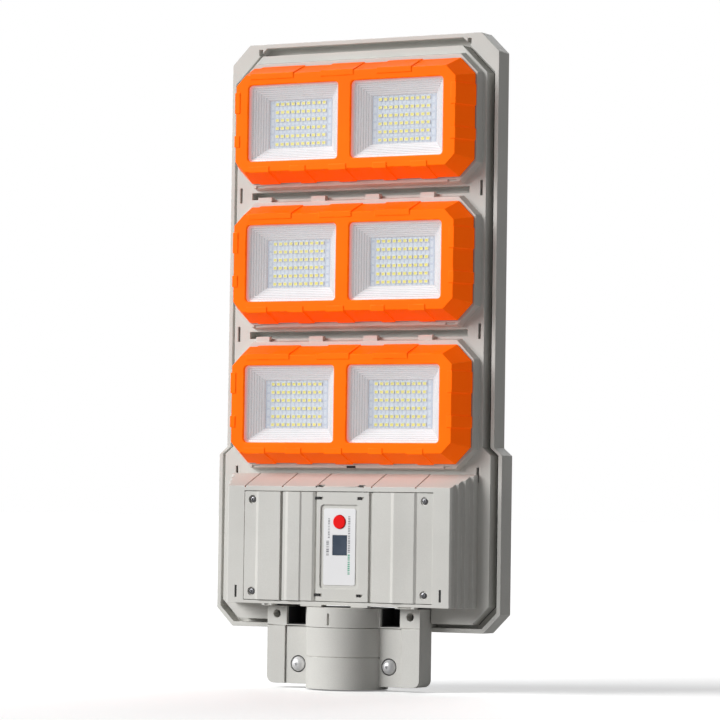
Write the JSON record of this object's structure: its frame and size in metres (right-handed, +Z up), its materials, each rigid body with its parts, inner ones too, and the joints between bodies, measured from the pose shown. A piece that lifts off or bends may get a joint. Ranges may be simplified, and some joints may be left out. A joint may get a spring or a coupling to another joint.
{
  "type": "solar street lamp",
  "caption": "Flat solar street lamp head with stacked double-window lamp modules, a control box with a push button, a rear solar panel and a clamp socket for a round arm.",
  "frame": {"origin": "centre of the arm socket's mouth, on the bore's axis", "axes": "+Z up the socket's bore towards the lamp's tip; the lamp modules face -Y and the solar panel faces +Y; +X is to the right seen from the modules' side"},
  "size_m": [0.254, 0.0623, 0.5125],
  "materials": {
    "housing": "fine textured moulded plastic, warm light grey",
    "panel_backsheet": "white laminate",
    "solar_cells": "dark blue silicon",
    "cell_ribbons": "tinned copper",
    "solar_glass": "tempered glass",
    "seal": "silicone rubber",
    "black_plastic": "moulded plastic",
    "screw": "zinc plated steel",
    "bezel": "orange moulded plastic, satin",
    "lens": "clear polycarbonate",
    "reflector": "bright white reflector",
    "led_board": "white solder mask on aluminium, bluish",
    "led_chips": "yellow phosphor in white packages",
    "label_overlay": "white printed film",
    "power_button": "red moulded plastic",
    "sensor_window": "dark infrared window",
    "control_board": "green circuit board",
    "sensor_can": "metal can",
    "battery_cells": "blue shrink sleeve",
    "nickel": "nickel strip",
    "wiring": "insulated leads",
    "clamp_screw": "polished stainless steel"
  },
  "bodies": {
    "lamp": {"rear_tray": "housing", "panel_backsheet": "panel_backsheet", "solar_cells": "solar_cells", "cell_ribbons": "cell_ribbons", "solar_glass": "solar_glass", "panel_seal": "seal", "panel_terminal": "black_plastic", "front_housing": "housing", "housing_seal": "seal", "shell_screws": "screw", "bezel_bottom": "bezel", "bezel_middle": "bezel", "bezel_top": "bezel", "lens_bottom": "lens", "lens_middle": "lens", "lens_top": "lens", "reflector_bottom": "reflector", "reflector_middle": "reflector", "reflector_top": "reflector", "led_board_bottom": "led_board", "led_board_middle": "led_board", "led_board_top": "led_board", "led_chips_bottom": "led_chips", "led_chips_middle": "led_chips", "led_chips_top": "led_chips", "gasket_bottom": "seal", "gasket_middle": "seal", "gasket_top": "seal", "bezel_screws": "screw", "control_box": "housing", "box_cover": "housing", "cover_seal": "seal", "cover_screws": "screw", "box_screws": "screw", "label_overlay": "label_overlay", "sensor_window": "sensor_window", "control_board": "control_board", "board_screws": "screw", "button_switch": "black_plastic", "motion_sensor": "sensor_can", "battery_cells": "battery_cells", "battery_strips": "nickel", "battery_holder": "black_plastic", "wiring": "wiring", "arm_socket": "housing", "clamp_nuts": "screw", "socket_screws": "screw"},
    "power_button": {"power_button": "power_button"},
    "clamp_cap": {"clamp_cap": "housing"},
    "clamp_screw_left": {"clamp_screw_left": "clamp_screw"},
    "clamp_screw_right": {"clamp_screw_right": "clamp_screw"}
  },
  "joints": [
    {"name": "button_press", "type": "slide", "parent": "lamp", "child": "power_button", "axis": [0, 1, 0], "range_m": [0, 0.001], "stiffness_N_per_m": 600},
    {"name": "clamp_open", "type": "slide", "parent": "lamp", "child": "clamp_cap", "axis": [0, -1, 0], "range_m": [0, 0.005]},
    {"name": "screw_left_turn", "type": "hinge", "parent": "clamp_cap", "child": "clamp_screw_left", "pos_m": [-0.0405, 0, 0.018], "axis": [0, -1, 0], "range_deg": [0, 1801]},
    {"name": "screw_right_turn", "type": "hinge", "parent": "clamp_cap", "child": "clamp_screw_right", "pos_m": [0.0405, 0, 0.018], "axis": [0, -1, 0], "range_deg": [0, 1801]}
  ],
  "couplings": [
    {"joint": "screw_left_turn", "follows": "clamp_open", "rad_per_m": 6283.2},
    {"joint": "screw_right_turn", "follows": "clamp_open", "rad_per_m": 6283.2}
  ]
}
